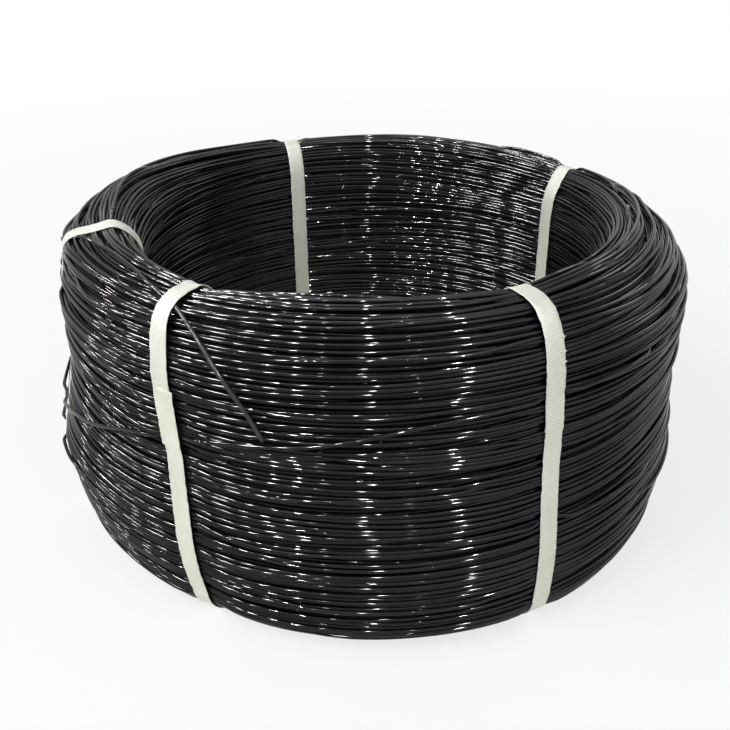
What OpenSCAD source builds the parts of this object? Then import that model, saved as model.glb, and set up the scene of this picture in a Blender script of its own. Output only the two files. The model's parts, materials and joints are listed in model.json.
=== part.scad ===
// Coil of 3 mm polyester wire, standing on its end and held by five plastic straps.
// The frame's origin is on the coil's axis, at the level of its lower end. +Z is up the axis.
// Azimuths are degrees from the front (-Y), positive towards +X.

/* [Coil] */
// Outer diameter at the widest part of the wall
coil_d = 544; // [524:5:584]
// Diameter of the bore
bore_d = 400; // [360:5:410]
// Height of the coil, end to end
coil_h = 265; // [240:5:300]
// Height of the wall's widest part
belly_z = 80; // [60:5:110]
// How far the wall draws in from its widest part to its upper end
draw_high = 6; // [0:0.5:8]
// How far the wall draws in from its widest part to its lower end
draw_low = 4; // [0:0.5:6]

/* [Ends] */
// Where the top's highest ring lies, as a share of the section's width from the bore
apex_share = 0.3; // [0.2:0.05:0.6]
// Drop of the top from its highest ring to the outer wall
crown_out_h = 64; // [40:1:80]
// Drop of the top from its highest ring to the bore wall
crown_in_h = 39; // [20:1:60]
// Radius of the lower end's outer edge
foot_out_r = 28; // [12:1:28]
// Radius of the lower end's bore edge
foot_in_r = 14; // [6:1:16]

/* [Wire] */
// Diameter of the wire
wire_d = 3; // [2.5:0.1:3.5]
// Spacing of neighbouring turns on the ends
turn_pitch = 3.7; // [3.3:0.1:4.5]
// Depth of the groove between neighbouring turns
turn_groove = 0.7; // [0.3:0.1:0.7]

/* [Straps] */
// Width of a strap
strap_w = 15; // [12:1:19]
// Thickness of a strap
strap_t = 0.8; // [0.8:0.1:1.2]
// Length over which a strap's two ends overlap
seal_l = 45; // [30:5:60]
// Sideways step between the two ends of the front left strap
seal_step = 3.5; // [0:0.5:5]
// Lean of the front left strap from upright
lean_front_left = -5; // [-6:0.5:6]

/* [Hidden] */

wire_color = "#15181a";
strap_color = "#eeeee4";

coil_r = coil_d / 2;
bore_r = bore_d / 2;
wall_end_r = coil_r - draw_high;
foot_end_r = coil_r - draw_low;
apex_r = bore_r + apex_share * (wall_end_r - bore_r);
crown_out_w = wall_end_r - apex_r;
crown_in_w = apex_r - bore_r;
wall_low = foot_out_r;
wall_high = coil_h - crown_out_h;

// Outline points on a quarter round, on the wall, and on one turn's width of a ridged end
corner_steps = 8;
wall_steps = 8;
turn_land = 0.6;
turn_valley = 0.8;
quarter = 90;
turned_fn = 180;

// Turns that fit along each quarter of the top and across the lower end
turns_out = round(PI / 4 * (crown_out_w + crown_out_h) / turn_pitch);
turns_in = round(PI / 4 * (crown_in_w + crown_in_h) / turn_pitch);
foot_flat = foot_end_r - foot_out_r - bore_r - foot_in_r;
turns_foot = floor(foot_flat / turn_pitch);

// Azimuth of each strap, and the height of the middle of its overlap
az_front_left = -31.5;
az_front_right = 28;
az_left = -74;
az_back_left = -158;
az_back_right = 120;
seal_z = 178;
seal_z_front_right = 196;

// Route of the loose end, from the front left strap's edge to the bare tip
loose_route = [[-130, -209, 256], [-121, -222, 250], [-112, -233, 241],
               [-98, -247, 223], [-83, -255, 202], [-71, -261, 182]];
loose_sides = 8;
loose_rings_per_span = 3;
heading_step = 0.01;

// ---- Section of the coil, as [radius, height] points. inset moves the outline inwards ----

function wall_radius(z) =
    z > belly_z ? coil_r - draw_high * pow((z - belly_z) / (wall_high - belly_z), 2)
    : coil_r - draw_low * pow((z - belly_z) / (wall_low - belly_z), 2);

// A point on the top's outer quarter, a degrees from its highest ring
function crown_out(a, inset) =
    [apex_r + (crown_out_w - inset) * sin(a), coil_h - crown_out_h + (crown_out_h - inset) * cos(a)];

// A point on the top's bore quarter, a degrees from its highest ring
function crown_in(a, inset) =
    [apex_r - (crown_in_w - inset) * sin(a), coil_h - crown_in_h + (crown_in_h - inset) * cos(a)];

function foot_out(a, inset) =
    [foot_end_r - foot_out_r + (foot_out_r - inset) * sin(a), foot_out_r - (foot_out_r - inset) * cos(a)];

function foot_in(a, inset) =
    [bore_r + foot_in_r - (foot_in_r - inset) * sin(a), foot_in_r - (foot_in_r - inset) * cos(a)];

function wall_outline(inset) =
    [for (i = [0:wall_steps])
        let (z = wall_low + (wall_high - wall_low) * i / wall_steps) [wall_radius(z) - inset, z]];

function foot_out_outline(inset) =
    [for (i = [0:corner_steps - 1]) foot_out(quarter * i / corner_steps, inset)];

function foot_in_outline(inset) =
    [for (i = [corner_steps:-1:0]) foot_in(quarter * i / corner_steps, inset)];

// The section with smooth ends, counter-clockwise from the lower end's outer edge
function plain_outline(inset) = concat(
    foot_out_outline(inset),
    wall_outline(inset),
    [for (i = [2 * corner_steps - 1:-1:0]) crown_out(quarter * i / (2 * corner_steps), inset)],
    [for (i = [1:2 * corner_steps]) crown_in(quarter * i / (2 * corner_steps), inset)],
    foot_in_outline(inset));

// One turn's outline along an end: a land, then the valley before the next turn
turn_profile = [[0, 0], [turn_land, 0], [turn_valley, turn_groove]];

// The section with its turns cut into both ends
function ridged_outline() = concat(
    foot_out_outline(0),
    wall_outline(0),
    [for (i = [0:turns_out - 1]) for (p = turn_profile)
        if (i + p[0] > 0) crown_out(quarter * (1 - (i + p[0]) / turns_out), p[1])],
    [for (i = [0:turns_in - 1]) for (p = turn_profile)
        crown_in(quarter * (i + p[0]) / turns_in, p[1])],
    [crown_in(quarter, 0)],
    foot_in_outline(0),
    [for (i = [0:turns_foot - 1]) for (p = turn_profile)
        if (i + p[0] > 0) [bore_r + foot_in_r + (i + p[0]) * turn_pitch, p[1]]],
    [[bore_r + foot_in_r + turns_foot * turn_pitch, 0]]);

module turned(outline) {
    rotate_extrude($fn = turned_fn) polygon(outline);
}

// ---- Straps ----

// The upright slab that a strap lies in. It is radial and reaches in to the radius inner
module strap_slab(az, lean, shift = 0, low = -coil_h / 4, high = coil_h * 5 / 4, inner = bore_r / 2) {
    outer = coil_r * 5 / 4;
    rotate([0, 0, az]) translate([0, 0, coil_h / 2]) rotate([0, lean, 0])
        translate([shift - strap_w / 2, -outer, low - coil_h / 2])
            cube([strap_w, outer - inner, high - low]);
}

// Channel that a strap presses into the coil
module strap_channel(az, lean = 0) {
    difference() {
        strap_slab(az, lean);
        turned(plain_outline(strap_t));
    }
}

// Band around the section, flush with it
module strap_band(az, lean) {
    difference() {
        intersection() {
            turned(plain_outline(0));
            strap_slab(az, lean);
        }
        turned(plain_outline(strap_t));
    }
}

// The strap's upper end, lapped over the lower one on the wall and stepped sideways from it
module strap_lap(az, lean, step, middle) {
    difference() {
        intersection() {
            turned(plain_outline(-strap_t));
            strap_slab(az, lean, step, middle - seal_l / 2, middle + seal_l / 2, apex_r);
        }
        turned(plain_outline(0));
    }
}

module strap(az, lean = 0, step = 0, middle = seal_z) {
    color(strap_color) union() {
        strap_band(az, lean);
        strap_lap(az, lean, step, middle);
    }
}

module strap_front_left() { strap(az_front_left, lean_front_left, seal_step); }
module strap_front_right() { strap(az_front_right, 0, 0, seal_z_front_right); }
module strap_left() { strap(az_left); }
module strap_back_left() { strap(az_back_left); }
module strap_back_right() { strap(az_back_right); }

// ---- Coil ----

module wire_coil() {
    color(wire_color) difference() {
        turned(ridged_outline());
        strap_channel(az_front_left, lean_front_left);
        strap_channel(az_front_right);
        strap_channel(az_left);
        strap_channel(az_back_left);
        strap_channel(az_back_right);
    }
}

// ---- Loose end ----

function unit(v) = v / norm(v);

// The route's point i, carried on in a straight line past either end
function route_point(i) =
    let (n = len(loose_route))
    i < 0 ? 2 * loose_route[0] - loose_route[1]
    : i > n - 1 ? 2 * loose_route[n - 1] - loose_route[n - 2]
    : loose_route[i];

// A smooth curve through the route's points, at t spans from its start
function route_at(t) =
    let (i = min(floor(t), len(loose_route) - 2), u = t - i,
         a = route_point(i - 1), b = route_point(i), c = route_point(i + 1), d = route_point(i + 2))
    b + u / 2 * ((c - a) + u * ((2 * a - 5 * b + 4 * c - d) + u * (3 * (b - c) + d - a)));

function route_heading(t) =
    let (ahead = min(t + heading_step, len(loose_route) - 1), behind = max(t - heading_step, 0))
    unit(route_at(ahead) - route_at(behind));

function loose_ring(t) =
    let (along = route_heading(t), side = unit(cross(along, [0, 0, 1])), up = cross(side, along))
    [for (k = [0:loose_sides - 1])
        route_at(t) + wire_d / 2 * (cos(360 * k / loose_sides) * side + sin(360 * k / loose_sides) * up)];

module loose_end() {
    spans = len(loose_route) - 1;
    rings = spans * loose_rings_per_span;
    points = [for (i = [0:rings]) each loose_ring(i / loose_rings_per_span)];
    last = rings * loose_sides;
    start_cap = [for (k = [loose_sides - 1:-1:0]) k];
    tip_cap = [for (k = [0:loose_sides - 1]) last + k];
    walls = [for (i = [0:rings - 1]) for (k = [0:loose_sides - 1])
        let (a = i * loose_sides + k, b = i * loose_sides + (k + 1) % loose_sides)
        [a, b, b + loose_sides, a + loose_sides]];
    color(wire_color) polyhedron(points = points, faces = concat([start_cap], walls, [tip_cap]));
}

wire_coil();
strap_front_left();
strap_front_right();
strap_left();
strap_back_left();
strap_back_right();
loose_end();
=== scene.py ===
import json
import math

import bpy
import numpy as np
from mathutils import Matrix, Vector


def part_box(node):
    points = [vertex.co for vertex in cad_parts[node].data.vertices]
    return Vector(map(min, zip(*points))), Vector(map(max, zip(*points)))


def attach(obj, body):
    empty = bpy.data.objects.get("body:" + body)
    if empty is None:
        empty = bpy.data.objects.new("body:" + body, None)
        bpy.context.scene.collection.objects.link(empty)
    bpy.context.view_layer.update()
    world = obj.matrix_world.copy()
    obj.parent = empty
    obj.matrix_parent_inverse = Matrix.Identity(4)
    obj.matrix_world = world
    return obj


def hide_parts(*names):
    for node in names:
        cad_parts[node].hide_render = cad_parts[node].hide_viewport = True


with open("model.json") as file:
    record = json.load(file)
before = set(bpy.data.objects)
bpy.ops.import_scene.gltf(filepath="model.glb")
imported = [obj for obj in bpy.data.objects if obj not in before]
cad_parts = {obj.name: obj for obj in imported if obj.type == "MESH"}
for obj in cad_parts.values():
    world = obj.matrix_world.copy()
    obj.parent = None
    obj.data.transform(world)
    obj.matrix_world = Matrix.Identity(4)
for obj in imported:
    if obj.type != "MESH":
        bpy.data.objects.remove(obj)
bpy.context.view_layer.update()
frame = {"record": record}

# A coil of black polyester wire on its end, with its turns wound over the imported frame's section.
# Metres. Azimuths are degrees from the front (-Y), positive towards +X, as in the CAD.
# A place on the coil is an azimuth and a distance along the section's outline. The outline starts
# where the lower end begins to round up to the outer wall, runs up that wall, over the top and
# down the bore, and comes back along the lower end.

MM = 0.001
BODY = "root"


# ---- Driving sizes ----

COIL_LOW, COIL_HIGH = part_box("wire_coil")
COIL_R = (COIL_HIGH.x - COIL_LOW.x) / 2
COIL_H = COIL_HIGH.z
BORE = next(m for m in frame["record"]["mounts"] if m["name"] == "bore")
BORE_R = BORE["dims"]["r_mm"] * MM

# The section's shape, as in part.scad
BELLY_Z = 80 * MM
DRAW_HIGH = 6 * MM
DRAW_LOW = 4 * MM
CROWN_OUT_H = 64 * MM
CROWN_IN_H = 39 * MM
APEX_SHARE = 0.3
FOOT_OUT_R = 28 * MM
FOOT_IN_R = 14 * MM

WIRE_D = 3 * MM
WIRE_R = WIRE_D / 2

STRAP_W = 15 * MM
STRAP_T = 0.8 * MM
SEAL_L = 45 * MM

# Azimuth and lean of each strap in degrees, the height of the middle of its overlap, and the
# sideways step there
STRAPS = {
    "strap_front_left": (-31.5, -5, 178 * MM, 3.5 * MM),
    "strap_front_right": (28, 0, 196 * MM, 0),
    "strap_left": (-74, 0, 178 * MM, 0),
    "strap_back_left": (-158, 0, 178 * MM, 0),
    "strap_back_right": (120, 0, 178 * MM, 0),
}

# The free end's route in part.scad
LOOSE_ROUTE = [(-0.130, -0.209, 0.256), (-0.121, -0.222, 0.250), (-0.112, -0.233, 0.241),
               (-0.098, -0.247, 0.223), (-0.083, -0.255, 0.202), (-0.071, -0.261, 0.182)]


# ---- Camera ----

SENSOR_W = 36
CAM_LENS = 45.88
CAM_DISTANCE = 0.9315
CAM_ELEVATION = 33.35
CAM_PITCH = 27.9
CAM_YAW = -0.37
CAM_ROLL = -0.71


def make_camera():
    """Stands in front of the coil and above it, turned a little off the line to its axis."""
    elevation, pitch, yaw, roll = (
        math.radians(a) for a in (CAM_ELEVATION, CAM_PITCH, CAM_YAW, CAM_ROLL))
    forward = Vector((
        math.sin(yaw) * math.cos(pitch), math.cos(yaw) * math.cos(pitch), -math.sin(pitch)))
    level = forward.cross(Vector((0, 0, 1))).normalized()
    upright = level.cross(forward)
    right = math.cos(roll) * level + math.sin(roll) * upright
    up = math.cos(roll) * upright - math.sin(roll) * level
    camera = bpy.data.objects.new("camera", bpy.data.cameras.new("camera"))
    camera.data.lens = CAM_LENS
    camera.data.sensor_width = SENSOR_W
    place = Vector((0, -CAM_DISTANCE * math.cos(elevation), CAM_DISTANCE * math.sin(elevation)))
    camera.matrix_world = Matrix((
        (right.x, up.x, -forward.x, place.x),
        (right.y, up.y, -forward.y, place.y),
        (right.z, up.z, -forward.z, place.z),
        (0, 0, 0, 1)))
    bpy.context.scene.collection.objects.link(camera)
    bpy.context.scene.camera = camera


# ---- Curves ----

SOFTEN_SPREAD = 3


def unit(v):
    return v / np.linalg.norm(v, axis=-1, keepdims=True)


def running_total(steps):
    """What the steps add up to before each of them, and in the end."""
    return np.concatenate([[0], np.cumsum(steps)])


def eased(t):
    """A step from 0 to 1 with soft ends."""
    t = np.clip(t, 0, 1)
    return t * t * (3 - 2 * t)


def bell(*distances):
    """1 where all the distances are 0, falling to nearly 0 where one of them is 3."""
    return np.exp(-0.5 * sum(d ** 2 for d in distances))


def plateau(distance):
    """Nearly 1 up to about half the distance of 1, and nearly 0 not far past it."""
    return np.exp(-distance ** 4)


def softened(values, reach):
    """A curve averaged over about reach steps either way, with its ends held."""
    far = SOFTEN_SPREAD * reach
    weights = bell(np.arange(-far, far + 1) / reach)
    return np.convolve(np.pad(values, far, mode="edge"), weights / weights.sum(), mode="valid")


def bridged(values, reach):
    """The highest of a curve's values within reach steps either way, softened: where a taut
    thing lies that is laid on it."""
    held = np.pad(values, reach, mode="edge")
    highest = np.max([held[k:k + len(values)] for k in range(2 * reach + 1)], axis=0)
    return softened(highest, max(1, reach // 2))


def smooth_noise(rng, count, reach):
    """A random curve that wanders over about reach steps, scaled to a deviation of 1."""
    spectrum = np.fft.rfft(rng.standard_normal(count))
    spectrum *= np.exp(-2 * (math.pi * reach * np.fft.rfftfreq(count)) ** 2)
    curve = np.fft.irfft(spectrum, count)
    return curve / curve.std()


def smooth_curve(points, per_span):
    """A Catmull-Rom curve through points, carried on in a straight line past either end."""
    points = np.array(points, float)
    held = np.vstack([2 * points[0] - points[1], points, 2 * points[-1] - points[-2]])
    t = np.arange(per_span)[:, None] / per_span
    spans = [b + t / 2 * ((c - a) + t * ((2 * a - 5 * b + 4 * c - d) + t * (3 * (b - c) + d - a)))
             for a, b, c, d in zip(held, held[1:], held[2:], held[3:])]
    return np.vstack([*spans, points[-1:]])


# ---- Skins ----

QUAD = 4


def corners(u0, u1, v0, v1):
    """The map corners of each quad of a skin, from its first and last ring and its two sides."""
    pairs = ((u0, v0), (u0, v1), (u1, v1), (u1, v0))
    return np.stack([np.stack(pair, axis=-1) for pair in pairs], axis=-2)


def skin_maps(rings, turn_rings, i, k):
    """The maps of a skin whose quads start at rings i and points k.

    OFBake gives a strip to each turn_rings rings, so that a long wire fills the map's square.
    Lay has the distance along the piece and the distance around it, both in metres."""
    spans, around = i.shape
    strips = math.ceil(spans / turn_rings)
    u, row = (i % turn_rings) / turn_rings, i // turn_rings
    v = (row + k / around) / strips
    middles = rings.mean(axis=1)
    steps = np.linalg.norm(np.roll(middles, -1, axis=0) - middles, axis=1)[:spans]
    sides = np.linalg.norm(rings[0] - np.roll(rings[0], -1, axis=0), axis=1)
    along, about = running_total(steps), running_total(sides)
    return {"OFBake": corners(u, u + 1 / turn_rings, v, v + 1 / around / strips),
            "Lay": corners(along[i], along[i + 1], about[k], about[k + 1])}


def lofted(name, rings, turn_rings=None, closed=False):
    """A skin over rings, an array of (ring, point, xyz). Its ends are capped, or joined to each
    other if closed. turn_rings is how many rings one turn of a wound wire has."""
    count, around = rings.shape[:2]
    spans = count if closed else count - 1
    i, k = np.meshgrid(np.arange(spans), np.arange(around), indexing="ij")
    here, ahead, beside = i * around, (i + 1) % count * around, (k + 1) % around
    quads = np.stack([here + k, here + beside, ahead + beside, ahead + k], axis=-1)
    caps = [] if closed else [np.arange(around)[::-1], (count - 1) * around + np.arange(around)]
    loops = np.concatenate([quads.ravel(), *caps])
    sizes = np.concatenate([np.full(spans * around, QUAD), np.full(len(caps), around)])

    mesh = bpy.data.meshes.new(name)
    mesh.vertices.add(count * around)
    mesh.vertices.foreach_set("co", rings.astype(np.float32).ravel())
    mesh.loops.add(len(loops))
    mesh.loops.foreach_set("vertex_index", loops.astype(np.int32))
    mesh.polygons.add(len(sizes))
    mesh.polygons.foreach_set("loop_start", running_total(sizes)[:-1].astype(np.int32))
    mesh.polygons.foreach_set("use_smooth", np.arange(len(sizes)) < spans * around)
    mesh.update(calc_edges=True)
    for title, uv in skin_maps(rings, turn_rings or spans, i, k).items():
        flat = np.zeros((len(loops), 2), np.float32)
        flat[:quads.size] = uv.reshape(-1, 2)
        mesh.uv_layers.new(name=title).data.foreach_set("uv", flat.ravel())
    piece = bpy.data.objects.new(name, mesh)
    bpy.context.scene.collection.objects.link(piece)
    return piece


def tube_rings(centres, outward, radius, sides):
    """Rings of a tube along centres. outward is a direction across the tube at each of them."""
    along = unit(np.gradient(centres, axis=0))
    across = unit(outward - along * np.sum(outward * along, axis=1, keepdims=True))
    other = np.cross(along, across)
    angles = 2 * math.pi * np.arange(sides) / sides
    cosines, sines = np.cos(angles)[None, :, None], np.sin(angles)[None, :, None]
    return centres[:, None] + radius * (cosines * across[:, None] + sines * other[:, None])


# ---- Material nodes ----

def feed(tree, node, inputs):
    """Sets a node's inputs, by name or number, each to a constant or to another node's output."""
    for name, value in inputs.items():
        if isinstance(value, bpy.types.NodeSocket):
            tree.links.new(value, node.inputs[name])
        else:
            node.inputs[name].default_value = value


def add(tree, kind, inputs, **settings):
    node = tree.nodes.new("ShaderNode" + kind)
    for name, value in settings.items():
        setattr(node, name, value)
    feed(tree, node, inputs)
    return node


def add_object_place(tree):
    return add(tree, "TexCoord", {}).outputs["Object"]


def add_noise(tree, vector, scale, detail):
    inputs = {"Vector": vector, "Scale": scale, "Detail": detail}
    return add(tree, "TexNoise", inputs).outputs["Fac"]


def add_ramp(tree, value, stops, colours):
    ramp = add(tree, "ValToRGB", {"Fac": value})
    for element, place, colour in zip(ramp.color_ramp.elements, stops, colours):
        element.position = place
        element.color = (*colour, 1)
    return ramp.outputs["Color"]


def add_range(tree, value, span, becomes):
    inputs = {"Value": value, "From Min": span[0], "From Max": span[1],
              "To Min": becomes[0], "To Max": becomes[1]}
    return add(tree, "MapRange", inputs).outputs["Result"]


def add_lay(tree, per_metre, turned=0):
    """The Lay map's distances along and around the piece, in so many units to the metre, and
    turned by an angle in degrees."""
    lay = add(tree, "UVMap", {}, uv_map="Lay").outputs["UV"]
    inputs = {"Vector": lay, "Scale": (*per_metre, 1), "Rotation": (0, 0, math.radians(turned))}
    return add(tree, "Mapping", inputs).outputs["Vector"]


def add_bump(tree, height, strength, distance, under=None):
    """A bump of that height, on top of the bump under it if there is one."""
    inputs = {"Height": height, "Strength": strength, "Distance": distance}
    if under:
        inputs["Normal"] = under
    return add(tree, "Bump", inputs).outputs["Normal"]


def add_seen(tree):
    """1 for the camera and for what a reflection or glass shows of the background, 0 for the
    light on the object."""
    path = add(tree, "LightPath", {})
    seen = path.outputs["Is Camera Ray"]
    for kind in ("Is Glossy Ray", "Is Transmission Ray"):
        seen = add(tree, "Math", {0: seen, 1: path.outputs[kind]}, operation="MAXIMUM").outputs[0]
    return seen


def new_material(name):
    material = bpy.data.materials.new(name)
    material.use_nodes = True
    return material.node_tree, material.node_tree.nodes["Principled BSDF"]


# ---- Materials ----

# The procedural material of each of the record's slots, and that of the wire's handled free end
LOOKS = {"wire": "black_polyester", "strap": "white_strapping"}
WORN_WIRE = "worn_polyester"

# A NOISE below is its scale and detail. DIE_LINES, RIPPLES and FIBRES are noises too, with their
# grains to the metre along and around the piece, and their detail. A BUMP is its strength and its
# height in metres. A SPAN is the part of a pattern's range over which a look changes from the
# first of its two values to the second.

# The two colours and the two roughnesses between which each kind of wire varies
WIRE_LOOKS = {
    LOOKS["wire"]: (((0.004, 0.0047, 0.0055), (0.010, 0.0105, 0.0095)), (0.04, 0.075)),
    WORN_WIRE: (((0.03, 0.031, 0.033), (0.06, 0.062, 0.063)), (0.12, 0.18)),
}
WIRE_IOR = 1.5
WIRE_SPECULAR = 0.17
WIRE_TONE_NOISE, WIRE_TONE_SPAN = (9, 3), (0.35, 0.7)
WIRE_GLOSS_NOISE, WIRE_GLOSS_SPAN = (60, 4), (0.3, 0.7)
DIE_LINES, DIE_LINE_BUMP = ((25, 2600), 3), (0.1, 0.05 * MM)
RIPPLES, RIPPLE_BUMP = ((160, 160), 2), (0.06, 0.1 * MM)

STRAP_IOR = 1.49
STRAP_COLOURS = ((0.79, 0.805, 0.68), (0.88, 0.89, 0.77))
STRAP_TONE_NOISE, STRAP_TONE_SPAN = (26, 5), (0.3, 0.68)
STRAP_ROUGHNESS = (0.42, 0.58)
STRAP_RUB_NOISE, STRAP_RUB_SPAN = (150, 3), (0.3, 0.7)
FIBRES, FIBRE_BUMP = ((40, 1800), 3), (0.25, 0.08 * MM)
# The embossed lattice: its waves, and for each of the two ways they run the angle in degrees and
# how much darker their grooves are painted, as shade in the grooves and dirt caught in them
LATTICE_PER_METRE, LATTICE_SCALE, LATTICE_DISTORTION = (1000, 1000), 0.2, 0.6
LATTICE_BUMP = (0.8, 0.12 * MM)
LATTICE_SHADE_AND_DIRT_SPAN = (0, 0.7)
LATTICE_WAYS = ((28, 0.26), (-28, 0.1))

FLOOR_COLOUR = (0.8, 0.8, 0.8, 1)
FLOOR_ROUGHNESS = 0.9
# The floor's own light and its paleness, each near the coil and far out, and the distances from
# the axis between which they change
FLOOR_GLOW = (0.74, 1.0)
FLOOR_PALE = (0.27, 0)
FLOOR_FADE = (0.6, 1.9)


def add_lay_noise(tree, per_metre, detail):
    return add_noise(tree, add_lay(tree, per_metre), 1, detail)


def make_wire_material(name):
    """Drawn polyester: near black, with a gloss that varies along the wire and faint lines from
    the die."""
    colours, roughness = WIRE_LOOKS[name]
    tree, shader = new_material(name)
    place = add_object_place(tree)
    tone = add_noise(tree, place, *WIRE_TONE_NOISE)
    gloss = add_noise(tree, place, *WIRE_GLOSS_NOISE)
    lined = add_bump(tree, add_lay_noise(tree, *DIE_LINES), *DIE_LINE_BUMP)
    rippled = add_bump(tree, add_lay_noise(tree, *RIPPLES), *RIPPLE_BUMP, lined)
    feed(tree, shader, {
        "IOR": WIRE_IOR,
        "Specular IOR Level": WIRE_SPECULAR,
        "Base Color": add_ramp(tree, tone, WIRE_TONE_SPAN, colours),
        "Roughness": add_range(tree, gloss, WIRE_GLOSS_SPAN, roughness),
        "Normal": rippled})


def make_strap_material():
    """Off-white plastic strapping, satin, with a fine embossed lattice and faint fibres along
    it. The lattice's grooves are darkened with painted shade and dirt."""
    tree, shader = new_material(LOOKS["strap"])
    place = add_object_place(tree)
    tone = add_noise(tree, place, *STRAP_TONE_NOISE)
    rub = add_noise(tree, place, *STRAP_RUB_NOISE)
    colour = add_ramp(tree, tone, STRAP_TONE_SPAN, STRAP_COLOURS)
    normal = add_bump(tree, add_lay_noise(tree, *FIBRES), *FIBRE_BUMP)
    for turned, groove_shade_and_dirt_depth in LATTICE_WAYS:
        inputs = {"Vector": add_lay(tree, LATTICE_PER_METRE, turned), "Scale": LATTICE_SCALE,
                  "Distortion": LATTICE_DISTORTION}
        ridges = add(tree, "TexWave", inputs, wave_type="BANDS", bands_direction="X").outputs["Fac"]
        normal = add_bump(tree, ridges, *LATTICE_BUMP, normal)
        # Painted shade: the colour is darkened in the lattice's grooves, for the shade and the dirt
        # in them
        groove_shade_and_dirt = add_range(tree, ridges, LATTICE_SHADE_AND_DIRT_SPAN, (1 - groove_shade_and_dirt_depth, 1))
        colour = add(tree, "VectorMath", {0: colour, "Scale": groove_shade_and_dirt}, operation="SCALE").outputs[0]
    feed(tree, shader, {
        "IOR": STRAP_IOR,
        "Base Color": colour,
        "Roughness": add_range(tree, rub, STRAP_RUB_SPAN, STRAP_ROUGHNESS),
        "Normal": normal})


def make_floor_material():
    """White to the eye and in reflections. Near the coil part of that light is the lamps', so its
    shadow still shows, and further out all of it is the floor's own."""
    tree, shader = new_material("floor")
    feed(tree, shader, {"Base Color": FLOOR_COLOUR, "Roughness": FLOOR_ROUGHNESS})
    away = add(tree, "VectorMath", {0: add_object_place(tree)}, operation="LENGTH").outputs["Value"]
    glow = add(tree, "Emission", {"Strength": add_range(tree, away, FLOOR_FADE, FLOOR_GLOW)})
    pale = add(tree, "BsdfDiffuse", {"Color": add_range(tree, away, FLOOR_FADE, FLOOR_PALE)})
    white = add(tree, "AddShader", {0: glow.outputs[0], 1: pale.outputs[0]})
    choice = add(tree, "MixShader", {0: add_seen(tree), 1: shader.outputs[0], 2: white.outputs[0]})
    feed(tree, tree.nodes["Material Output"], {"Surface": choice.outputs[0]})


def dress(piece, slot, *nodes, look=None):
    """Puts a piece on the body in place of CAD nodes, with its slot's material or another look."""
    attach(piece, BODY)
    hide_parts(*nodes)
    piece.data.materials.append(bpy.data.materials[look or LOOKS[slot]])


# ---- The section of the coil ----

WALL_END_R = COIL_R - DRAW_HIGH
FOOT_END_R = COIL_R - DRAW_LOW
APEX_R = BORE_R + APEX_SHARE * (WALL_END_R - BORE_R)
CROWN_OUT_W = WALL_END_R - APEX_R
CROWN_IN_W = APEX_R - BORE_R
WALL_LOW, WALL_HIGH = FOOT_OUT_R, COIL_H - CROWN_OUT_H
SECTION_POINTS = 1800
STRETCH_POINTS = 200
# A normal is square to the line between the points that many steps to either side
NORMAL_STEPS = 4


def wall_radius(z):
    high = DRAW_HIGH * ((z - BELLY_Z) / (WALL_HIGH - BELLY_Z)) ** 2
    low = DRAW_LOW * ((z - BELLY_Z) / (WALL_LOW - BELLY_Z)) ** 2
    return COIL_R - np.where(z > BELLY_Z, high, low)


def section():
    """The section's outline in even steps: the distance along it, its radius and height, its
    outward normal, and its whole length."""
    rise = np.linspace(0, 1, STRETCH_POINTS, endpoint=False)
    quarter = math.pi / 2 * rise
    wall_z = WALL_LOW + (WALL_HIGH - WALL_LOW) * rise
    fall = COIL_H - CROWN_IN_H + (FOOT_IN_R - COIL_H + CROWN_IN_H) * rise
    flat = FOOT_END_R - FOOT_OUT_R - BORE_R - FOOT_IN_R
    sine, cosine = np.sin(quarter), np.cos(quarter)
    stretches = [
        (FOOT_END_R - FOOT_OUT_R * (1 - sine), FOOT_OUT_R * (1 - cosine)),
        (wall_radius(wall_z), wall_z),
        (APEX_R + CROWN_OUT_W * cosine, WALL_HIGH + CROWN_OUT_H * sine),
        (APEX_R - CROWN_IN_W * sine, COIL_H - CROWN_IN_H * (1 - cosine)),
        (0 * fall + BORE_R, fall),
        (BORE_R + FOOT_IN_R * (1 - cosine), FOOT_IN_R * (1 - sine)),
        (BORE_R + FOOT_IN_R + flat * rise, 0 * rise),
    ]
    points = np.hstack([np.array(s) for s in stretches]).T
    loop = np.vstack([points, points[:1]])
    lengths = running_total(np.linalg.norm(np.diff(loop, axis=0), axis=1))
    even = np.linspace(0, lengths[-1], SECTION_POINTS, endpoint=False)
    r, z = (np.interp(even, lengths, loop[:, c]) for c in (0, 1))
    dr, dz = (np.roll(c, -NORMAL_STEPS) - np.roll(c, NORMAL_STEPS) for c in (r, z))
    size = np.hypot(dr, dz)
    return even, np.stack([r, z]), np.stack([dz / size, -dr / size]), lengths[-1]


SECTION_S, SECTION_AT, SECTION_OUT, SECTION_L = section()


def on_section(s, out):
    """Radius, height and outward normal at the distance s along the outline, moved out by out."""
    s = np.mod(s, SECTION_L)
    r, z, nr, nz = (
        np.interp(s, SECTION_S, row, period=SECTION_L) for row in (*SECTION_AT, *SECTION_OUT))
    return r + out * nr, z + out * nz, nr, nz


def nearest_s(r, z):
    """The distance along the outline of its point nearest to that radius and height."""
    return SECTION_S[np.argmin((SECTION_AT[0] - r) ** 2 + (SECTION_AT[1] - z) ** 2)]


def wall_s(height):
    """The distance along the outline at that height on the outer wall or the outer side of the
    top."""
    top = np.argmax(SECTION_AT[1])
    return float(np.interp(height, SECTION_AT[1][:top], SECTION_S[:top]))


def in_space(azimuth, r, z):
    """Points at azimuths in radians."""
    return np.stack([r * np.sin(azimuth), -r * np.cos(azimuth), z], axis=-1)


def wrapped(distance, whole):
    """A distance taken the short way round."""
    return (distance + whole / 2) % whole - whole / 2


# ---- How the coil differs from its section ----

# The tables here have rows of azimuth in degrees, distance along the outline, the amount there,
# and its reach round the coil in degrees and along the outline.

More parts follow.
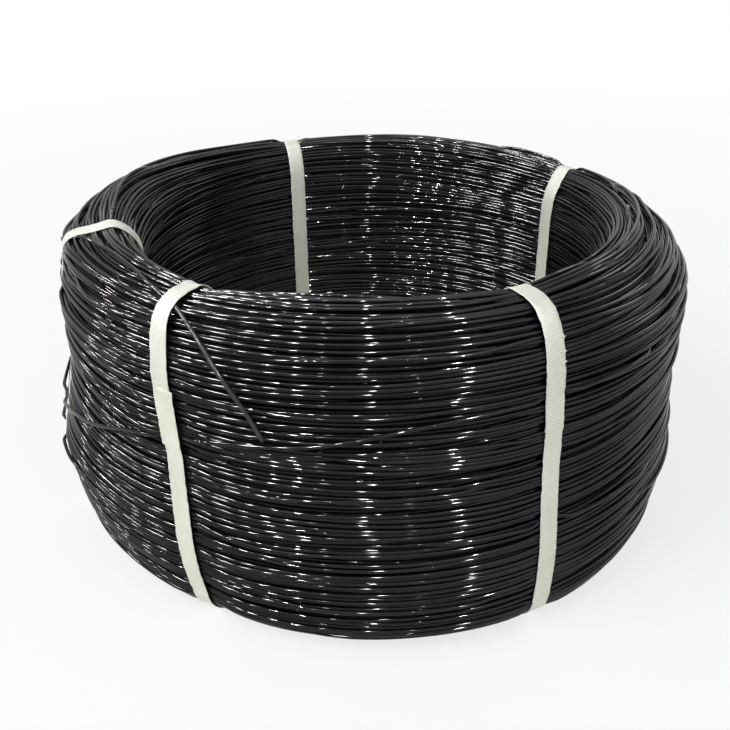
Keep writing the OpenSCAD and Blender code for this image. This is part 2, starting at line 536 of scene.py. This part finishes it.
# How far the coil bulges out from its section, or sinks in
BULGES = [
    (-82, 80 * MM, 7.5 * MM, 30, 40 * MM),
    (-42, 25 * MM, -4 * MM, 25, 28 * MM),
    (38, 60 * MM, 3.5 * MM, 28, 40 * MM),
    (-74, 172 * MM, -4 * MM, 30, 20 * MM),
    (76, 158 * MM, -3 * MM, 30, 26 * MM),
    (74, 228 * MM, 6 * MM, 28, 26 * MM),
    (-102, 292 * MM, 8 * MM, 24, 26 * MM),
    (-73, 271 * MM, 8 * MM, 10, 10 * MM),
    (-150, 296 * MM, -3.5 * MM, 26, 26 * MM),
    (2, 28 * MM, 2.2 * MM, 40, 22 * MM),
    (-74, 302 * MM, -4.5 * MM, 16, 22 * MM),
    (-52, 292 * MM, -3 * MM, 18, 22 * MM),
    (122, 290 * MM, -7 * MM, 28, 30 * MM),
    (120, 326 * MM, -4 * MM, 8, 16 * MM),
    (-85, 336 * MM, 9 * MM, 30, 20 * MM),
    (-138, 288 * MM, -1 * MM, 14, 24 * MM),
    (-112, 290 * MM, -3 * MM, 10, 24 * MM),
    (62, 40 * MM, -3 * MM, 20, 24 * MM),
    (-76, 104 * MM, 3 * MM, 14, 12 * MM),
    (-31, 140 * MM, -2.5 * MM, 9, 40 * MM),
    (-34, 304 * MM, -2.5 * MM, 9, 9 * MM),
    (28, 222 * MM, -2.2 * MM, 9, 16 * MM),
    (28, 140 * MM, -1.2 * MM, 9, 40 * MM),
    (28, 303 * MM, -3 * MM, 9, 10 * MM),
]
# How far the turns slant sideways along the outline
SWAYS = [
    (-84, 150 * MM, 18 * MM, 22, 52 * MM),
    (-84, 278 * MM, -8 * MM, 22, 34 * MM),
]
# How much more loosely the turns lie than elsewhere
LOOSE_PLACES = [
    (75, 265 * MM, 1.6, 32, 40 * MM),
    (-100, 290 * MM, 0.8, 30, 40 * MM),
]

# How far the wires' outer sides may stand out from the bulging section, away from the straps
SWELL = 0.5 * MM
# How much deeper than that a strap draws them in, how far that reaches to either side of its
# middle, and how far that middle lies from the strap's own: for the straps named, and the others
PINCHES = {
    "strap_front_left": (3.4 * MM, 18 * MM, 7 * MM),
    "strap_left": (3.2 * MM, 14 * MM, 0),
}
PINCH = (1.9 * MM, 13 * MM, 0)
# The front straps span the coil's shoulder, where they don't draw the wires in: its middle and
# its reach along the outline, and how far each of them stands off the wires there
SHOULDER_S, SHOULDER_REACH = 271 * MM, 13 * MM
SHOULDER_SPANS = {"strap_front_left": 2.2 * MM, "strap_front_right": 1.5 * MM}


def places(table, azimuth, s):
    """The sum of a table's amounts at azimuths in radians and distances along the outline."""
    total = 0
    for middle, along, amount, reach, reach_along in table:
        away = wrapped(azimuth - math.radians(middle), 2 * math.pi) / math.radians(reach)
        off = wrapped(s - along, SECTION_L) / reach_along
        total = total + amount * bell(away, off)
    return total


def from_strap(name, azimuth, r, z):
    """How far round the coil a place is from the middle of a strap."""
    strap_azimuth, lean, *_ = STRAPS[name]
    round_coil = wrapped(azimuth - math.radians(strap_azimuth), 2 * math.pi) * r
    return round_coil - math.tan(math.radians(lean)) * (z - COIL_H / 2)


def on_shoulder(s):
    """1 in the middle of the coil's shoulder, falling to 0 on either side of it."""
    return bell(wrapped(s - SHOULDER_S, SECTION_L) / SHOULDER_REACH)


def swell(azimuth, s):
    """How far the wires may stand out from the bulging section: less where a strap draws them
    in."""
    r, z, _, _ = on_section(s, 0)
    out = SWELL + 0 * r
    for name in STRAPS:
        depth, reach, shift = PINCHES.get(name, PINCH)
        if name in SHOULDER_SPANS:
            depth = depth * (1 - on_shoulder(s))
        out = out - depth * plateau((from_strap(name, azimuth, r, z) - shift) / reach)
    return out


def under_straps(azimuth, s, reach, skipped=None):
    """1 under a strap, falling to 0 at about the reach to either side of its middle."""
    r, z, _, _ = on_section(s, 0)
    return sum(plateau(from_strap(name, azimuth, r, z) / reach)
               for name in STRAPS if name != skipped)


def wire_at(azimuth, s, out):
    """The middle of a wire, and the surface's outward direction there. out is measured from the
    bulging section, and no wire sinks into the floor."""
    r, z, nr, nz = on_section(s, places(BULGES, azimuth, s) + out)
    return in_space(azimuth, r, np.maximum(z, WIRE_R)), in_space(azimuth, nr, nz)


# ---- The wound wire ----

SEED = 11
SURFACE_TURNS, UNDER_TURNS = 157, 146
TURN_STEPS = 180
START_AZIMUTH = math.radians(STRAPS["strap_front_left"][0])
STEP_AZIMUTHS = START_AZIMUTH + 2 * math.pi * np.arange(TURN_STEPS) / TURN_STEPS

SURFACE_DEPTH = WIRE_R - 0.1 * MM
UNDER_DEPTH = WIRE_R + 3.2 * MM
# How far the layer below may rise above its own depth, and how much deeper it and the ridges
# under it lie where the turns are loose
UNDER_RISE = 1 * MM
UNDER_SINK = 2 * MM

# A slow sideways sway that neighbouring turns share: how far, how many waves it is made of, and
# the most lengths that one of them has round the coil or round its section
DRIFT, DRIFT_WAVES, DRIFT_MOST = 1.5 * MM, 7, 4
# What a turn does on its own: how far, and over how many steps. A BURST or a DIVE only starts
# where its random curve is past the deviation after that, and where the turns are loose a DIVE
# starts sooner
WANDERS = ((0.9 * MM, 7), (1.8 * MM, 22))
BURST, BURST_REACH, BURST_OVER = 4 * MM, 34, 1.1
UNEVEN, UNEVEN_REACH = 0.5 * MM, 9
DIVE, DIVE_REACH, DIVE_OVER = 3.4 * MM, 16, 1.0
DIVE_LOOSE = 0.45
WAVE, WAVE_REACH = 0.5 * MM, 3.8
SIDE_WAVE, SIDE_WAVE_REACH = 0.22 * MM, 3.5
# The turns hardly rise and dip closer to a strap's middle than this
STILL_REACH = 12 * MM

# The relaxation: its passes, how many turns on either side a wire can touch, and what one pass
# does. PULL_S and PULL_D are shares of the way back to where a wire would lie, along the outline
# and in depth. PUSH is the share of an overlap by which each of its two wires moves. STRAIGHTEN
# is how strongly a point is drawn to its neighbours along the wire
PASSES = 90
NEIGHBOURS = 4
PULL_S, PULL_D = 0.06, 0.08
PUSH = 0.4
STRAIGHTEN = 0.25
TINY = 1e-9

# The pieces that the surface turns make, which keeps the triangles of each down. Then the sides
# of a wire in either layer, and the steps from one ring to the next in the layer below
SURFACE_RUNS = 4
SURFACE_SIDES, UNDER_SIDES, UNDER_EVERY = 8, 5, 2
# The ridges at the bottom of the gaps: their depth, how many there are, the steps in one of them
# round the coil, and its profile in thicknesses of the wire
INNER_DEPTH, INNER_TURNS, INNER_STEPS = 7 * MM, 150, 72
INNER_PROFILE = (0, 0.35, 0.5, 0.35)


def drift(rng, s, azimuth):
    """The sway that neighbouring turns share, scaled to a deviation of about 1."""
    total = 0
    for _ in range(DRIFT_WAVES):
        round_coil, along_section = (rng.integers(1, DRIFT_MOST + 1) for _ in range(2))
        sign, phase = rng.choice([-1, 1]), rng.uniform(0, 2 * math.pi)
        slope = sign * along_section * 2 * math.pi * s / SECTION_L
        total = total + np.cos(round_coil * azimuth + slope + phase)
    return total * math.sqrt(2 / DRIFT_WAVES)


def laid_out(rng, turns, depth):
    """Where a layer's wire would lie if nothing were in its way: its distance along the outline,
    its depth, and the distance along the outline of even turns, as arrays of (turn, step)."""
    count = turns * TURN_STEPS
    even = SECTION_L * np.arange(count) / count
    around = np.tile(STEP_AZIMUTHS, turns)
    looseness = 1 + places(LOOSE_PLACES, around, even)
    s = even + drift(rng, even, around) * DRIFT + places(SWAYS, around, even)
    for size, reach in WANDERS:
        s = s + smooth_noise(rng, count, reach) * size * looseness
    burst = smooth_noise(rng, count, BURST_REACH)
    s = s + np.sign(burst) * np.clip(abs(burst) - BURST_OVER, 0, 1) * BURST * looseness
    d = depth + smooth_noise(rng, count, UNEVEN_REACH) * UNEVEN
    dive = smooth_noise(rng, count, DIVE_REACH) - DIVE_OVER + DIVE_LOOSE * (looseness - 1)
    d = d + np.clip(dive, 0, 1) * DIVE
    if depth > SURFACE_DEPTH:
        d = d + (looseness - 1) * UNDER_SINK
    return [values.reshape(turns, TURN_STEPS) for values in (s, d, even)]


def push_apart(s, d):
    """Moves wires that cut into each other apart, sideways and in depth."""
    order = np.argsort(np.mod(s, SECTION_L), axis=0)
    sorted_s = np.take_along_axis(np.mod(s, SECTION_L), order, axis=0)
    sorted_d = np.take_along_axis(d, order, axis=0)
    move_s, move_d = np.zeros_like(s), np.zeros_like(d)
    for j in range(1, NEIGHBOURS + 1):
        gap = np.roll(sorted_s, -j, axis=0) - sorted_s
        gap[-j:] += SECTION_L
        drop = np.roll(sorted_d, -j, axis=0) - sorted_d
        apart = np.hypot(gap, drop) + TINY
        push = np.maximum(0, WIRE_D - apart) * PUSH / apart
        for move, part in ((move_s, push * gap), (move_d, push * drop)):
            move -= part
            move += np.roll(part, j, axis=0)
    for field, move in ((s, move_s), (d, move_d)):
        shift = np.zeros_like(field)
        np.put_along_axis(shift, order, move, axis=0)
        field += shift


def straighten(field, base):
    """Draws every point of each layer's wire towards the line between its two neighbours. base
    is where even turns would lie."""
    for layer in (slice(0, SURFACE_TURNS), slice(SURFACE_TURNS, None)):
        bend = (field[layer] - base[layer]).reshape(-1)
        bend[1:-1] += STRAIGHTEN * (bend[:-2] + bend[2:] - 2 * bend[1:-1])
        field[layer] = bend.reshape(-1, TURN_STEPS) + base[layer]


def ripple(rng, s, d):
    """Gives the surface turns their last fine waves: smaller ones in the bore than on the outer
    wall, and only sideways ones next to a strap."""
    s += smooth_noise(rng, s.size, SIDE_WAVE_REACH).reshape(-1, TURN_STEPS) * SIDE_WAVE
    radius, *_ = on_section(s, 0)
    free = 1 - under_straps(STEP_AZIMUTHS + 0 * s, s, STILL_REACH)
    wave = smooth_noise(rng, s.size, WAVE_REACH).reshape(-1, TURN_STEPS) * free
    d += wave * WAVE * (radius / COIL_R) ** 2


def wind():
    """Lays out the surface turns and the turns under them.

    Each layer is one continuous wire. Its turns sway and wander, then a relaxation pushes turns
    that cut into each other apart and bends them smooth again. Returns for each layer the distance
    along the outline and the depth of the wire's middle, as arrays of (turn, step)."""
    rng = np.random.default_rng(SEED)
    layers = [laid_out(rng, turns, depth) for turns, depth in
              ((SURFACE_TURNS, SURFACE_DEPTH), (UNDER_TURNS, UNDER_DEPTH))]
    s_want, d_want, even = (np.vstack(parts) for parts in zip(*layers))
    s, d = s_want.copy(), d_want.copy()
    least_d = WIRE_R - swell(STEP_AZIMUTHS[None], even)
    least_d[SURFACE_TURNS:] += UNDER_DEPTH - SURFACE_DEPTH - UNDER_RISE
    for _ in range(PASSES):
        s += PULL_S * (s_want - s)
        d += PULL_D * (d_want - d)
        push_apart(s, d)
        straighten(s, even)
        straighten(d, 0 * even)
        np.maximum(d, least_d, out=d)
    ripple(rng, s[:SURFACE_TURNS], d[:SURFACE_TURNS])
    return s[:SURFACE_TURNS], d[:SURFACE_TURNS], s[SURFACE_TURNS:], d[SURFACE_TURNS:]


SURFACE_S, SURFACE_D, UNDER_S, UNDER_D = wind()


def turns_piece(name, s, d, sides, every=1):
    """A run of turns as one tube. It has a ring at every step, or at one in so many."""
    azimuth = START_AZIMUTH + 2 * math.pi * np.arange(s.size) / TURN_STEPS
    middles, outward = wire_at(azimuth[::every], s.reshape(-1)[::every], -d.reshape(-1)[::every])
    return lofted(name, tube_rings(middles, outward, WIRE_R, sides), TURN_STEPS // every)


def make_inner_turns():
    """The turns below both layers, which show only as dark ridges at the bottom of the gaps."""
    count = INNER_TURNS * len(INNER_PROFILE)
    s = SECTION_L * np.arange(count) / count
    azimuth = 2 * math.pi * np.arange(INNER_STEPS)[:, None] / INNER_STEPS
    out = np.tile(INNER_PROFILE, INNER_TURNS) * WIRE_D - INNER_DEPTH
    out = out - places(LOOSE_PLACES, azimuth, s) * UNDER_SINK
    middles, _ = wire_at(azimuth + 0 * s, s + 0 * azimuth, out)
    return lofted("inner_turns", middles[:, ::-1], closed=True)


def make_coil():
    cuts = [round(SURFACE_TURNS * i / SURFACE_RUNS) for i in range(SURFACE_RUNS + 1)]
    for i, (first, last) in enumerate(zip(cuts, cuts[1:]), 1):
        s, d = SURFACE_S[first:last], SURFACE_D[first:last]
        dress(turns_piece(f"surface_turns_{i}", s, d, SURFACE_SIDES), "wire", "wire_coil")
    under = turns_piece("under_turns", UNDER_S, UNDER_D, UNDER_SIDES, UNDER_EVERY)
    dress(under, "wire", "wire_coil")
    dress(make_inner_turns(), "wire", "wire_coil")


# ---- Strands that lie over the turns ----

# Lower than anything that a strand could lie on
FAR_IN = -20 * MM
STRAND_STEP = math.radians(1)
STRAND_BRIDGE = 4
STRAND_SOFTEN = 3
# How far a strand sinks in under a strap, and how far to either side
STRAND_SINK, STRAND_SINK_REACH = 3.4 * MM, 14 * MM
# The strap that a strand passes over, not under
OVER_STRAP = {"crossing_turn": "strap_left"}
# How far and over what angle a strand's end dives among the turns, or bends away to join a point
DIVE_DEEP, DIVE_LONG = 6 * MM, math.radians(13)
JOIN_LONG = math.radians(3)
ROUTE_STEPS = 12
SHORT_STRAND_POINTS = 7

# The routes have rows of azimuth in degrees, distance along the outline, and height kept above
# what the strand lies on.

# The turn that crosses the front, with a slack loop standing off the left side
CROSSING_TURN = [
    (-132, 176 * MM, 0), (-114, 170 * MM, 0), (-98, 156 * MM, 0), (-90, 146 * MM, 0),
    (-84, 137 * MM, 0), (-78, 131 * MM, 0.9 * MM), (-72, 132 * MM, 1.1 * MM),
    (-66, 138 * MM, 0.2 * MM), (-59.3, 147 * MM, 0), (-53.8, 153 * MM, 0), (-46.7, 163 * MM, 0),
    (-41.6, 171 * MM, 0), (-35.6, 177 * MM, 0), (-31.4, 180 * MM, 0), (-24, 188 * MM, 0),
    (-20.7, 190 * MM, 0), (-10, 196 * MM, 0), (-2.9, 202 * MM, 0), (4, 208 * MM, 0),
    (11, 212 * MM, 0), (20, 214.5 * MM, 0), (28, 216 * MM, 0), (44, 218 * MM, 0), (62, 217 * MM, 0)]

# The stretch of the last turn that ends in the free end
END_TURN = [
    (-112, 214 * MM, 0), (-98, 226 * MM, -3.5 * MM), (-88, 240 * MM, -4 * MM),
    (-78, 265 * MM, -2.5 * MM), (-74, 274 * MM, 0), (-67.5, 286 * MM, 0), (-62.4, 292 * MM, 0),
    (-57.7, 295.5 * MM, 0), (-54.6, 296 * MM, 0), (-49.8, 295 * MM, 0), (-46.6, 293.5 * MM, 0),
    (-41.8, 288.5 * MM, 0), (-37.5, 284 * MM, 0)]

# Short strands: azimuths of the ends in degrees, distance along the outline at either end in
# millimetres, and how far the strand bows sideways between them
SHORT_STRANDS = [
    (-34, 20, 338, 338, -26), (46, 128, 262, 282, 6), (52, 112, 300, 288, 4),
    (36, 100, 279, 296, -3), (66, 150, 312, 296, -5), (92, 168, 268, 262, 5),
    (-64, -22, 190, 172, 4), (-108, -52, 112, 96, -4), (-120, -66, 296, 308, 4),
    (-66, -36, 262, 262, -4), (-26, 22, 150, 156, 3), (2, 60, 116, 108, 3), (-22, 26, 64, 60, -2),
    (34, 92, 172, 180, 3), (44, 100, 92, 84, -3), (-20, 18, 252, 255, 3), (150, 214, 268, 260, 5),
    (170, 232, 430, 424, 3), (128, 190, 388, 394, -3), (204, 262, 210, 220, 4),
    (120, 190, 120, 132, 5), (188, 250, 150, 140, -4), (190, 260, 300, 292, 4)]

# Azimuth, distance along the outline and height of each strand laid so far
laid_strands = []


def wires_across(azimuth):
    """Distance along the outline and middle's height of every surface wire and strand, at each
    of the azimuths."""
    turn = (azimuth - START_AZIMUTH) / (2 * math.pi) % 1 * TURN_STEPS
    place = turn[:, None] + TURN_STEPS * np.arange(SURFACE_TURNS)[None]
    chain = np.arange(SURFACE_S.size)
    s = [np.interp(place, chain, SURFACE_S.reshape(-1))]
    out = [np.interp(place, chain, -SURFACE_D.reshape(-1))]
    for strand_azimuth, strand_s, strand_out in laid_strands:
        met = strand_azimuth[0] + (azimuth - strand_azimuth[0]) % (2 * math.pi)
        height = np.interp(met, strand_azimuth, strand_out)
        s.append(np.interp(met, strand_azimuth, strand_s)[:, None])
        out.append(np.where(met > strand_azimuth[-1], FAR_IN, height)[:, None])
    return np.hstack(s), np.hstack(out)


def resting_height(azimuth, s):
    """How far out the middle of a wire comes to lie on the others."""
    wire_s, wire_out = wires_across(azimuth)
    off = wrapped(wire_s - s[:, None], SECTION_L)
    touching = wire_out + np.sqrt(np.maximum(WIRE_D ** 2 - off ** 2, 0))
    return np.where(abs(off) < WIRE_D, touching, FAR_IN).max(axis=1)


def lay_strand(name, route, sinks=(True, True), joins=None):
    """A length of wire laid over the turns along a route. It sinks among them at the ends that
    sinks says, and if joins is given its last end comes to that point in space."""
    curve = smooth_curve(route, ROUTE_STEPS)
    first, last = (math.radians(curve[end, 0]) for end in (0, -1))
    azimuth = np.linspace(first, last, math.ceil((last - first) / STRAND_STEP) + 1)
    s, lift = (np.interp(azimuth, np.radians(curve[:, 0]), curve[:, c]) for c in (1, 2))
    level = swell(azimuth, s)
    out = softened(bridged(resting_height(azimuth, s) - level, STRAND_BRIDGE), STRAND_SOFTEN)
    out = out + level + lift
    out = out - STRAND_SINK * under_straps(azimuth, s, STRAND_SINK_REACH, OVER_STRAP.get(name))
    for sink, from_end in zip(sinks, (azimuth - azimuth[0], azimuth[-1] - azimuth)):
        if sink:
            out = out - DIVE_DEEP * (1 - eased(from_end / DIVE_LONG))
    if joins is not None:
        share = eased(1 - (azimuth[-1] - azimuth) / JOIN_LONG)
        r, z, nr, nz = on_section(s[-1], 0)
        height = (math.hypot(joins[0], joins[1]) - r) * nr + (joins[2] - z) * nz
        out = out + share * (height - places(BULGES, azimuth[-1], s[-1]) - out[-1])
    laid_strands.append((azimuth, s, out))
    middles, outward = wire_at(azimuth, s, out)
    if joins is not None:
        middles = middles + share[:, None] * (joins - middles[-1])
    piece = lofted(name, tube_rings(middles, outward, WIRE_R, SURFACE_SIDES))
    dress(piece, "wire", "wire_coil")


def make_strands():
    lay_strand("crossing_turn", CROSSING_TURN)
    start = np.array(LOOSE_ROUTE[0])
    start_azimuth = math.degrees(math.atan2(start[0], -start[1]))
    start_s = nearest_s(math.hypot(start[0], start[1]), start[2])
    lay_strand("end_turn", [*END_TURN, (start_azimuth, start_s, 0)], (True, False), start)
    for number, (first, last, s_first, s_last, bow) in enumerate(SHORT_STRANDS, 1):
        route = []
        for t in np.linspace(0, 1, SHORT_STRAND_POINTS):
            s = s_first + (s_last - s_first) * t + bow * math.sin(math.pi * t)
            route.append((first + (last - first) * t, s * MM, 0))
        lay_strand(f"strand_{number:02d}", route)


# ---- Straps ----

STRAP_STEP = 1.2 * MM
STRAP_CLEAR = 0.15 * MM
# How far a strap's edge stands off the wires on the side of larger azimuths
STRAP_TILT = {"strap_front_left": 1.0 * MM}
# A strap's last stretch climbs onto its first over LAP_RAMP, to LAP_RISE thicknesses. Its two
# ends ease sideways over LAP_EASE, to the step between them at the overlap
LAP_RAMP = 5 * MM
LAP_RISE = 1.05
LAP_EASE = 150 * MM
EDGE_ROUND = 0.25 * MM
FRAY, FRAY_REACH = 0.16 * MM, 1.0

# Heights, in thicknesses, of the points round a strap's cross-section, which go along its lower
# face and back along its upper one. The outer two points of each face round off its edge
STRAP_LEVELS = (0.25, 0, 0, 0, 0, 0, 0.25, 0.75, 1, 1, 1, 1, 1, 0.75)

# Slivers that stand off a strap's edge: strap, height, side, length
SLIVERS = [
    ("strap_front_right", 238 * MM, 1, 1.5 * MM), ("strap_front_right", 229 * MM, 1, 1.1 * MM),
    ("strap_front_right", 222 * MM, 1, 1.7 * MM), ("strap_front_right", 204 * MM, 1, 0.9 * MM),
    ("strap_front_right", 168 * MM, -1, 0.8 * MM), ("strap_front_left", 262 * MM, 1, 1.0 * MM),
    ("strap_front_left", 150 * MM, 1, 0.7 * MM)]


def strap_widths(name, rng, s):
    """How far each point of the cross-section is from the strap's middle, at distances s along
    the outline, with the edges frayed and slivers standing off them."""
    half = STRAP_W / 2
    face = np.array([-half, -half + EDGE_ROUND, -half / 2, 0, half / 2, half - EDGE_ROUND, half])
    across = np.concatenate([face, face[::-1]])[None]
    fray = np.stack([smooth_noise(rng, len(s), FRAY_REACH) for _ in range(2)]) * FRAY
    for strap, height, side, length in SLIVERS:
        if strap == name:
            fray[int(side > 0), np.argmin(abs(s - wall_s(height)))] += side * length
    left, right = fray[:, :, None]
    at_edge = abs(across) > half / 2 + EDGE_ROUND
    return across + np.where(across < 0, left, right) * at_edge


def make_strap(name, number):
    """A band once around the section, whose last stretch lies on its first. It is drawn tight
    over the wires."""
    azimuth, lean, seal_z, seal_step = STRAPS[name]
    rng = np.random.default_rng(SEED + number)
    low, high = wall_s(seal_z - SEAL_L / 2), wall_s(seal_z + SEAL_L / 2)
    count = round((SECTION_L + high - low) / STRAP_STEP)
    s = np.linspace(low, high + SECTION_L, count)
    rise = eased((s - (low + SECTION_L - LAP_RAMP)) / LAP_RAMP) * STRAP_T * LAP_RISE
    late = np.clip(1 - (s[-1] - s) / LAP_EASE, 0, 1)
    early = np.clip(1 - (s - s[0]) / LAP_EASE, 0, 1)
    side = seal_step / 2 * (late ** 2 - early ** 2)

    plain_r, plain_z, _, _ = on_section(s, 0)
    leant = math.tan(math.radians(lean)) * (plain_z - COIL_H / 2)
    middle = math.radians(azimuth) + (side + leant) / plain_r
    width = strap_widths(name, rng, s)
    at = middle[:, None] + width / plain_r[:, None]
    s = s[:, None] + 0 * width
    tilt = STRAP_TILT.get(name, 0) * np.maximum(0, width / (STRAP_W / 2))
    ground = swell(at, s) + STRAP_CLEAR + tilt
    ground = ground + SHOULDER_SPANS.get(name, 0) * on_shoulder(s)
    level = np.array(STRAP_LEVELS) * STRAP_T
    r, z, _, _ = on_section(s, places(BULGES, at, s) + ground + level[None] + rise[:, None])
    return lofted(name + "_band", in_space(at, r, np.maximum(z, 0)))


def make_straps():
    for number, name in enumerate(STRAPS, 1):
        dress(make_strap(name, number), "strap", name)


# ---- Loose end ----

LOOSE_SIDES = 10
LOOSE_STEPS = 8
# The outward direction at a point of the free end, in shares of its x, y and z
LOOSE_OUTWARD = (1, 1, 0.3)


def make_loose_end():
    centres = smooth_curve(LOOSE_ROUTE, LOOSE_STEPS)
    outward = centres * np.array(LOOSE_OUTWARD)
    piece = lofted("wire_end", tube_rings(centres, outward, WIRE_R, LOOSE_SIDES))
    dress(piece, "wire", "loose_end", look=WORN_WIRE)


# ---- Stage and light ----

FLOOR_HALF = 8
WORLD_LEVEL = 0.4
WHITE = (1, 1, 1, 1)

# The kinds of light that a lamp can leave out
COLOUR, GLOSS = "visible_diffuse", "visible_glossy"

# Broad lamps: azimuth, elevation, distance, width, height, radiance, and what they leave out
LAMPS = {
    "sheen": (0, 82, 2.0, 2.4, 2.0, 2.1, COLOUR),
    "overhead": (0, 82, 2.0, 2.4, 2.0, 3.5, GLOSS),
    "key": (-55, 45, 2.4, 1.4, 1.2, 5.8, GLOSS),
    "fill": (40, 25, 2.6, 1.6, 1.4, 1.5, GLOSS),
    "right_behind": (128, 36, 2.2, 1.0, 0.35, 5.0, COLOUR),
    "behind": (-168, 42, 2.2, 1.0, 0.5, 4.5, COLOUR),
    "right_front": (52, 30, 2.4, 1.4, 1.0, 2.0, COLOUR),
}

# Small lamps that only show as glints on the wires: azimuth, elevation, width, height, radiance
STRIP_DISTANCE = 2.2
STRIPS = [
    (-1, 50, 0.05, 0.3, 800), (38.5, 50, 0.06, 0.12, 2700), (17, 50, 0.03, 0.06, 900),
    (-20, 50, 0.05, 0.12, 450), (-31, 50, 0.06, 0.12, 2000), (-43, 50, 0.07, 0.12, 1700),
    (-56, 50, 0.09, 0.12, 1000), (-67, 48, 0.2, 0.12, 420), (-78, 53, 0.24, 0.12, 360),
    (-89, 47, 0.24, 0.12, 320), (-100, 52, 0.24, 0.12, 280), (-111, 46, 0.24, 0.12, 250),
    (-123, 50, 0.24, 0.12, 220), (-84, 33, 0.1, 0.1, 330), (-92, 27, 0.1, 0.1, 300),
    (-101, 31, 0.1, 0.1, 260), (-110, 27, 0.12, 0.1, 200)]


def make_floor():
    floor = bpy.data.objects.new("floor", bpy.data.meshes.new("floor"))
    h = FLOOR_HALF
    floor.data.from_pydata([(-h, -h, 0), (h, -h, 0), (h, h, 0), (-h, h, 0)], [], [(0, 1, 2, 3)])
    floor.data.materials.append(bpy.data.materials["floor"])
    bpy.context.scene.collection.objects.link(floor)


def add_lamp(name, azimuth, elevation, distance, width, height, radiance, left_out):
    """An area lamp that faces the coil. radiance is what its face would read in a mirror."""
    a, e = math.radians(azimuth), math.radians(elevation)
    back = Vector((math.sin(a) * math.cos(e), -math.cos(a) * math.cos(e), math.sin(e)))
    light = bpy.data.lights.new(name, "AREA")
    light.shape = "RECTANGLE"
    light.size, light.size_y = width, height
    light.energy = radiance * math.pi * width * height
    lamp = bpy.data.objects.new(name, light)
    lamp.location = Vector((0, 0, COIL_H / 2)) + back * distance
    lamp.rotation_mode = "QUATERNION"
    lamp.rotation_quaternion = back.to_track_quat("Z", "Y")
    setattr(lamp, left_out, False)
    bpy.context.scene.collection.objects.link(lamp)


def make_lights():
    for name, lamp in LAMPS.items():
        add_lamp(name, *lamp)
    for number, (azimuth, elevation, *face) in enumerate(STRIPS, 1):
        add_lamp(f"strip_{number:02d}", azimuth, elevation, STRIP_DISTANCE, *face, COLOUR)


def make_world():
    """White to the eye and in reflections, and a softer light on the object."""
    world = bpy.data.worlds.new("world")
    bpy.context.scene.world = world
    world.use_nodes = True
    tree = world.node_tree
    strength = add_range(tree, add_seen(tree), (0, 1), (WORLD_LEVEL, 1))
    feed(tree, tree.nodes["Background"], {"Color": WHITE, "Strength": strength})


# ---- The scene ----


bpy.context.scene.view_settings.view_transform = "Standard"
make_camera()
for wire_look in WIRE_LOOKS:
    make_wire_material(wire_look)
make_strap_material()
make_floor_material()
make_loose_end()
make_coil()
make_strands()
make_straps()
make_floor()
make_lights()
make_world()
